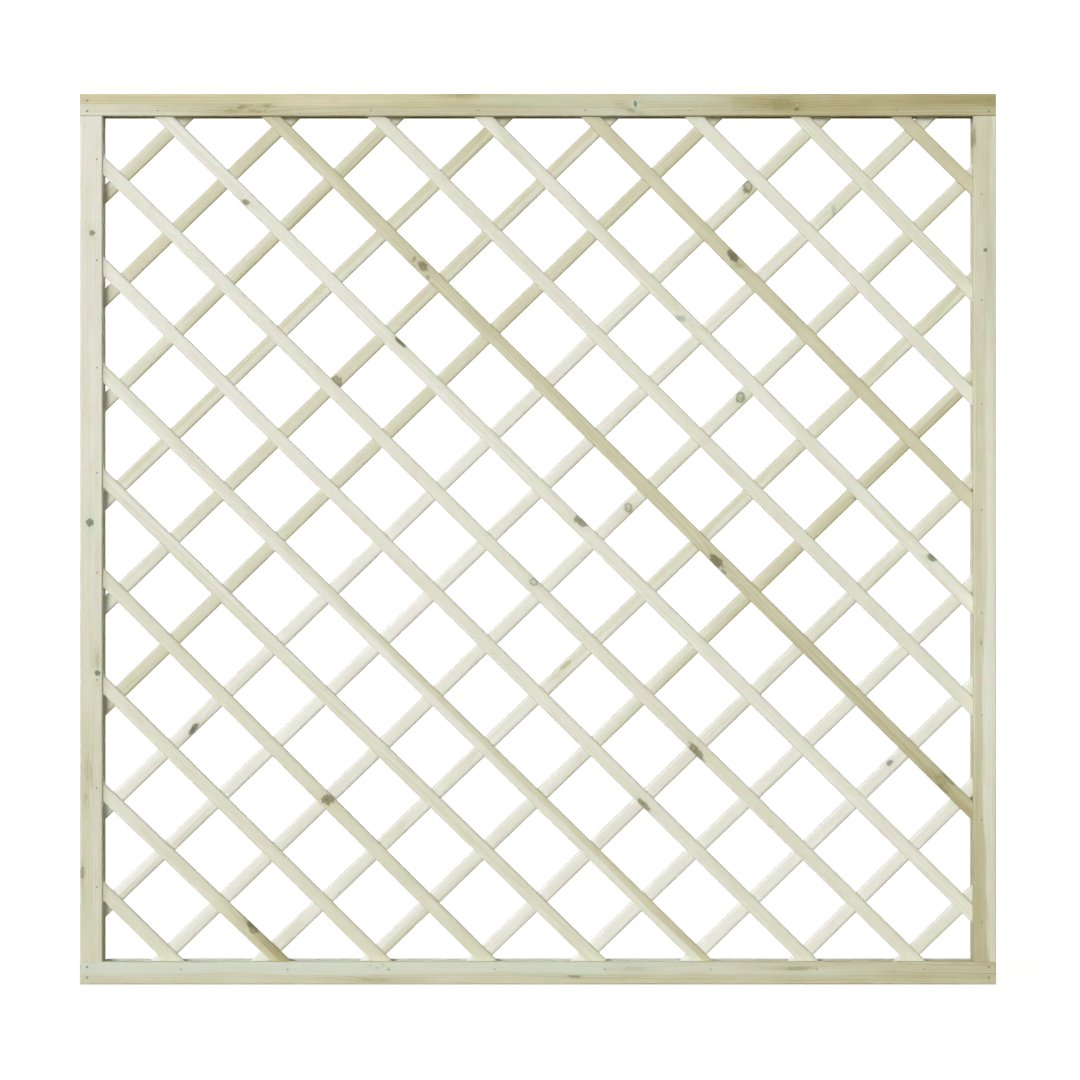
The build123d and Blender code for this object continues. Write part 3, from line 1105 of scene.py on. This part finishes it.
def lath_rings(timber, outline, dents):
    """Rings of points along a lath, closer together at its marks. Each line of points runs to the
    edges of the lath field."""
    marks = [0.0, timber.length]
    for place, reach in [(k[0], k[2]) for k in timber.knots] + [(d[0], d[2]) for d in dents]:
        marks += marks_round(place, reach)
    marks = thinned(sorted(m for m in marks if 0 <= m <= timber.length), mark_step / 2)
    shares = np.array(spaced(marks, station_step)) / timber.length

    (direction, side, origin) = (row[[0, 2]] for row in (*timber.axes[:2], timber.origin))
    lines = [origin + side * across for across, _ in outline]
    runs = [run_inside(place, direction) for place in lines]
    starts = np.array([place + direction * run[0] for place, run in zip(lines, runs)])
    ends = np.array([place + direction * run[1] for place, run in zip(lines, runs)])
    flat = starts[None] + (ends - starts)[None] * shares[:, None, None]
    depth = np.broadcast_to(outline[:, 1], flat.shape[:2])
    return np.stack([flat[..., 0], depth, flat[..., 1]], axis=-1)


def lath_lift(timber, rings, normals, dents):
    """How far each point is moved out of the wood: knots rise, arrises are worn and dented."""
    places = timber.places(rings.reshape(-1, 3)).reshape(rings.shape)
    lift = np.zeros(rings.shape[:2])
    for knot in timber.knots:
        lift += knot_rise * np.exp(-((timber.from_knot(places, knot) ** 2).sum(-1)))
    on_arris = np.minimum(np.abs(normals[:, 0]), np.abs(normals[:, 1])) * math.sqrt(2)
    for hand in (-1, 1):
        (along_marks, worn) = wear_along(timber.draws, timber.length)
        this_side = np.where(normals[:, 0] * hand > side_facing_share, on_arris, 0.0)
        lift -= arris_wear * this_side * np.interp(places[..., 0], along_marks, worn)
    for place, hand, half_length, deep in dents:
        along = np.clip(1 - ((places[..., 0] - place) / half_length) ** 2, 0, 1)
        facing = np.where(normals[:, 1] < back_facing_share, 1.0, dent_back_share)
        lift -= deep * along * np.clip(normals[:, 0] * hand, 0, 1) * facing
    return lift


def build_lath(name, olive):
    timber = lath_timber(name, olive)
    is_front = name.startswith("front")
    y_front = -lath_thickness if is_front else lath_contact_gap
    y_back = -lath_contact_gap if is_front else lath_thickness
    outline = lath_section(timber.half_width, y_front, y_back)
    normals = outward(outline)
    dents = lath_dents(timber)
    rings = lath_rings(timber, outline, dents)
    lift = lath_lift(timber, rings, normals, dents)
    rings += (lift * normals[:, 0])[..., None] * timber.axes[1]
    rings[..., 1] += lift * normals[:, 1]
    # The faces in contact stay in their plane
    (least, most) = (None, y_back) if is_front else (y_front, None)
    rings[..., 1] = np.clip(rings[..., 1], least, most)

    shell = Shell(rings)
    shell.cap(0)
    shell.cap(shell.last)
    new_piece(shell, timber, lath_pine)


for number, olive in enumerate(front_olive_shares, 1):
    build_lath(f"front_lath_{number:02d}", olive)
for number, olive in enumerate(rear_olive_shares, 1):
    build_lath(f"rear_lath_{number:02d}", olive)


# Frame members. A member's section is drawn as (distance from its inner face, y), starting on
# the front face at the inner edge.

edge_level = half_depth - stock_edge_radius
outer_levels = (-edge_level, -half_tenon, 0.0, half_tenon, edge_level)
row_count = 8
arc_count = corner_segments - 1
groove_count = 8

# Where in the outline the back face starts, the back part of the inner face with the groove's
# points after it, and the points that a tenon joins on the outer face and on the groove's floor
back_first = row_count + arc_count + len(outer_levels) + arc_count
groove_first = back_first + row_count + arc_count
groove_points = slice(groove_first + 1, groove_first + 1 + groove_count)
outer_tenon = (row_count + arc_count + 1, row_count + arc_count + len(outer_levels) - 2)
floor_tenon = (groove_first + groove_count // 2, groove_first + groove_count // 2 + 1)


def frame_section(rows):
    """The outline of a frame member whose faces have points at these rows."""
    radius = stock_edge_radius
    (near, far) = (radius, stock_face - radius)
    (level, mouth) = (edge_level, half_groove + groove_mouth_ease)
    outline = [(row, -half_depth) for row in rows]
    outline += corner_arc((far, -level), radius, radius, -90)
    outline += [(stock_face, y) for y in outer_levels]
    outline += corner_arc((far, level), radius, radius, 0)
    outline += [(row, half_depth) for row in reversed(rows)]
    outline += corner_arc((near, level), radius, radius, 90)
    outline += [(0.0, level), (0.0, mouth), (groove_mouth_ease, half_groove)]
    outline += [(groove_depth, half_groove), (groove_depth, half_tenon)]
    outline += [(groove_depth, -half_tenon), (groove_depth, -half_groove)]
    outline += [(groove_mouth_ease, -half_groove), (0.0, -mouth), (0.0, -level)]
    outline += corner_arc((near, -level), radius, radius, 180)
    return np.array(outline)


def rows_round(first, second):
    """The rows of a face, from its inner edge, with room for a recess round two of them."""
    rows = [stock_edge_radius]
    for row in (first, second):
        rows += [row - recess_cell, row, row + recess_cell]
    return rows + [stock_face - stock_edge_radius]


def heads(name):
    """Where each nail or pin of a CAD node stands, as (x, z)."""
    points = node_places(name)
    found = []
    while len(points):
        near = np.linalg.norm(points - points[0], axis=1) < head_reach
        found.append((points[near].min(0) + points[near].max(0)) / 2)
        points = points[~near]
    return found


all_heads = [
    (kind, facing, place)
    for kind, facing, node in (
        ("pin", -1, "front_lath_pins"),
        ("pin", 1, "rear_lath_pins"),
        ("nail", -1, "corner_nails"),
    )
    for place in heads(node)
]
recess_sizes = {
    "pin": (pin_recess_radius, pin_recess_depth),
    "nail": (nail_recess_radius, nail_recess_depth),
}


def heads_in(corner, along, outwards, length):
    """The heads that a member holds: (kind, facing, place along, distance from inner face)."""
    held = []
    for kind, facing, (x, z) in all_heads:
        place = in_panel(x, z) - corner
        (u, d) = (place @ along, place @ outwards)
        if 0 < u < length and 0 < d < stock_face:
            held.append((kind, facing, u, d))
    return held


def rows_by_kind(held, is_rail):
    """The rows of the faces where a member holds pins and where it holds nails."""
    pin_row = next(d for kind, _, _, d in held if kind == "pin")
    pin_rows = rows_round(pin_row, (pin_row + recess_cell + stock_face - stock_edge_radius) / 2)
    if not is_rail:
        return {"pin": pin_rows}
    across = sorted({round(d, 5) for kind, _, _, d in held if kind == "nail"})
    return {"pin": pin_rows, "nail": rows_round(*across)}


def member_stations(timber, held, is_rail):
    """Where along a member its rings of points stand."""
    marks = [0.0, timber.length]
    if is_rail:
        marks += [rail_end_ease, timber.length - rail_end_ease]
    centres = sorted({round(u, 5) for _, _, u, _ in held})
    for centre in centres:
        marks += [centre - recess_cell, centre, centre + recess_cell]
    for u, _, half_length, _, _, _ in timber.knots:
        if min(abs(u - centre) for centre in centres) > 3 * recess_cell + half_length:
            marks += marks_round(u, half_length)
    return np.array(spaced(sorted(set(marks)), station_step))


def build_member(name, corner, along, outwards, length):
    """A rail or stile. corner is the low end of its inner face's middle line."""
    (corner, along, outwards) = (np.array(place, float) for place in (corner, along, outwards))
    is_rail = name.endswith("rail")
    timber = Timber(
        name,
        origin=corner + outwards * stock_face / 2,
        along=along,
        across=outwards,
        length=length,
        half_width=stock_face / 2,
        olive=frame_olive_shares[name],
        green=frame_green_shares[name],
        seam=frame_seam_shares[name],
        # How much painted shade this member's inner faces get
        inner_painted_shade=frame_painted_shade_shares[name],
    )
    held = heads_in(corner, along, outwards, length)
    rows = rows_by_kind(held, is_rail)
    nail_zone = 2 * recess_cell + min([u for kind, _, u, _ in held if kind == "nail"], default=0.0)
    stations = member_stations(timber, held, is_rail)

    rings = []
    for u in stations:
        in_nail_zone = is_rail and min(u, length - u) < nail_zone
        outline = frame_section(rows["nail" if in_nail_zone else "pin"])
        if is_rail and u in (0.0, length):
            eased = outward(outline)
            eased[groove_points] = (-1.0, 0.0)
            outline = outline - rail_end_ease * eased
        ring = corner + u * along + outline[:, :1] * outwards
        ring[:, 1] = outline[:, 1]
        rings.append(ring)

    shell = Shell(np.array(rings))
    for kind, facing, u, d in held:
        station = int(np.abs(stations - u).argmin())
        row = int(np.abs(np.array(rows[kind]) - d).argmin())
        place = row if facing < 0 else back_first + row_count - 1 - row
        shell.recess(station, place, *recess_sizes[kind], np.array([0.0, -facing, 0.0]))
    for station, way in ((0, -1), (shell.last, 1)):
        if is_rail:
            shell.cap(station)
        else:
            add_haunch(shell, station, way * along)
    new_piece(shell, timber, frame_pine)


def add_haunch(shell, station, way):
    """Closes a stile's end with its two cheeks, and the haunch that fills the rail's groove."""
    (outer_from, outer_to) = outer_tenon
    (floor_from, floor_to) = floor_tenon
    around = shell.around
    outer = [shell.index(station, j) for j in range(outer_from, outer_to + 1)]
    floor = [shell.index(station, j) for j in range(floor_from, floor_to + 1)]
    base = outer + floor
    shell.faces.append([shell.index(station, j) for j in range(outer_to, floor_from + 1)])
    shell.faces.append([shell.index(station, j) for j in range(floor_to, around + outer_from + 1)])
    tip = shell.add([shell.points[k] + haunch_length * way for k in base])
    shell.band(base, tip)
    shell.faces.append(tip)


rail_length = 2 * half_width
stile_length = top_edge - bottom_edge
for name, corner, along, outwards, length in (
    ("bottom_rail", (-half_width, 0, bottom_edge), (1, 0, 0), (0, 0, -1), rail_length),
    ("top_rail", (-half_width, 0, top_edge), (1, 0, 0), (0, 0, 1), rail_length),
    ("left_stile", (-inner_half_width, 0, bottom_edge), (0, 0, 1), (-1, 0, 0), stile_length),
    ("right_stile", (inner_half_width, 0, bottom_edge), (0, 0, 1), (1, 0, 0), stile_length),
):
    build_member(name, corner, along, outwards, length)


# Fasteners: the CAD solids, in galvanised wire

for name in ("corner_nails", "front_lath_pins", "rear_lath_pins", "crossing_staples"):
    fastener = frame["nodes"][name].data
    fastener.materials.clear()
    fastener.materials.append(galvanised)


# Stage: a pale floor that keeps the shadow, a white backdrop round it, and a white surround


def stage_material(name, shown_level):
    """White to the camera, with room for a shadow below a level of 1. As light it is a dim,
    warm floor."""
    (material, t) = new_material(name)
    glow = t.shader("Emission", {"Color": white, "Strength": shown_level})
    pale = t.shader("BsdfDiffuse", {"Color": shown_floor_colour})
    dim = t.shader("BsdfDiffuse", {"Color": lit_floor_colour})
    t.surface(t.by_ray(dim, t.shader("AddShader", {0: glow, 1: pale})))
    return material


def stage_piece(name, points, faces, shown_level):
    mesh = bpy.data.meshes.new(name)
    mesh.from_pydata(points, [], faces)
    mesh.materials.append(stage_material("pale_" + name, shown_level))
    piece = placed(name, mesh)
    return piece


def build_floor():
    half = floor_size / 2
    corners = [(-half, -half, 0.0), (half, -half, 0.0), (half, half, 0.0), (-half, half, 0.0)]
    stage_piece("floor", corners, [(0, 1, 2, 3)], floor_level)


def build_backdrop():
    """A round wall at the floor's edge. Only the camera sees it: it lights and shades nothing."""
    radius = floor_size / 2
    angles = [2 * math.pi * k / backdrop_sides for k in range(backdrop_sides)]
    ring = [(radius * math.cos(angle), radius * math.sin(angle)) for angle in angles]
    points = [(x, y, z) for z in (0.0, radius) for x, y in ring]
    faces = []
    for near in range(backdrop_sides):
        far = (near + 1) % backdrop_sides
        faces.append((near, far, backdrop_sides + far, backdrop_sides + near))
    backdrop = stage_piece("backdrop", points, faces, backdrop_level)
    backdrop.visible_diffuse = False
    backdrop.visible_glossy = False
    backdrop.visible_transmission = False
    backdrop.visible_shadow = False


def build_world():
    """White to the camera. As light it is a soft sky, brighter from above and from the front."""
    world = bpy.data.worlds.new("surround")
    world.use_nodes = True
    bpy.context.scene.world = world
    t = Tree(world.node_tree)
    (_, y, z) = t.parts(t.node("TexCoord").outputs["Generated"])
    level = t.plus(t.times(z, sky_rise), sky_level)
    level = t.plus(level, t.times(y, -sky_front))
    sky = t.shader("Background", {"Color": sky_colour, "Strength": level})
    shown = t.shader("Background", {"Color": white, "Strength": surround_level})
    t.surface(t.by_ray(sky, shown), "OutputWorld")


def grouped(name, pieces):
    group = bpy.data.collections.new(name)
    for piece in pieces:
        group.objects.link(piece)
    return group


def build_sun(name, casts_shadow=True, lit=(), shading=()):
    """A sun lamp. Where pieces are given as lit, it lights those alone, and where pieces are
    given as shading, those alone cast its shadows."""
    ((x, y, z), strength, spread) = lamps[name]
    sun = bpy.data.lights.new(name, "SUN")
    sun.energy = strength
    sun.color = lamp_colour
    sun.angle = math.radians(spread)
    sun.use_shadow = casts_shadow
    lamp = placed(name, sun)
    lamp.rotation_euler = (math.atan2(math.hypot(x, y), z), 0.0, math.atan2(x, -y))
    if lit:
        lamp.light_linking.receiver_collection = grouped(name + "_lit", lit)
    if shading:
        lamp.light_linking.blocker_collection = grouped(name + "_shading", shading)


def build_camera():
    """Level and square to the panel. Its shift moves the panel to its place in the photograph."""
    metres_per_px = 2 * half_width / panel_width_px
    camera = bpy.data.cameras.new("camera")
    camera.sensor_width = sensor_width
    camera.lens = camera_distance / metres_per_px * sensor_width / photo_side
    (axis_x, axis_y) = camera_axis_px
    camera.shift_x = (photo_side / 2 - axis_x) / photo_side
    camera.shift_y = (axis_y - photo_side / 2) / photo_side
    holder = placed("camera", camera)
    middle = (panel_low[2] + panel_high[2]) / 2
    holder.location = (
        (axis_x - panel_centre_px[0]) * metres_per_px,
        panel_low[1] - camera_distance,
        middle + (panel_centre_px[1] - axis_y) * metres_per_px,
    )
    holder.rotation_euler = (math.radians(90), 0.0, 0.0)
    bpy.context.scene.camera = holder


build_floor()
build_backdrop()
build_world()
build_camera()

meshes = [piece for piece in bpy.context.scene.objects if piece.type == "MESH"]
laths = [piece for piece in meshes if "lath" in piece.name and "pins" not in piece.name]
others = [piece for piece in meshes if piece not in laths]
members = [piece for piece in meshes if "rail" in piece.name or "stile" in piece.name]
front_laths = [piece for piece in laths if "front" in piece.name]
rear_laths = [piece for piece in laths if "rear" in piece.name]
build_sun("key_light")
build_sun("front_fill", casts_shadow=False, lit=front_laths)
build_sun("rear_fill", lit=rear_laths, shading=members)
build_sun("rear_soft", casts_shadow=False, lit=rear_laths)
build_sun("frame_fill", lit=others)
build_sun("bounce", casts_shadow=False, lit=laths)
build_sun("side_light", lit=members)
build_sun("back_light")
bpy.context.scene.view_settings.view_transform = "Standard"
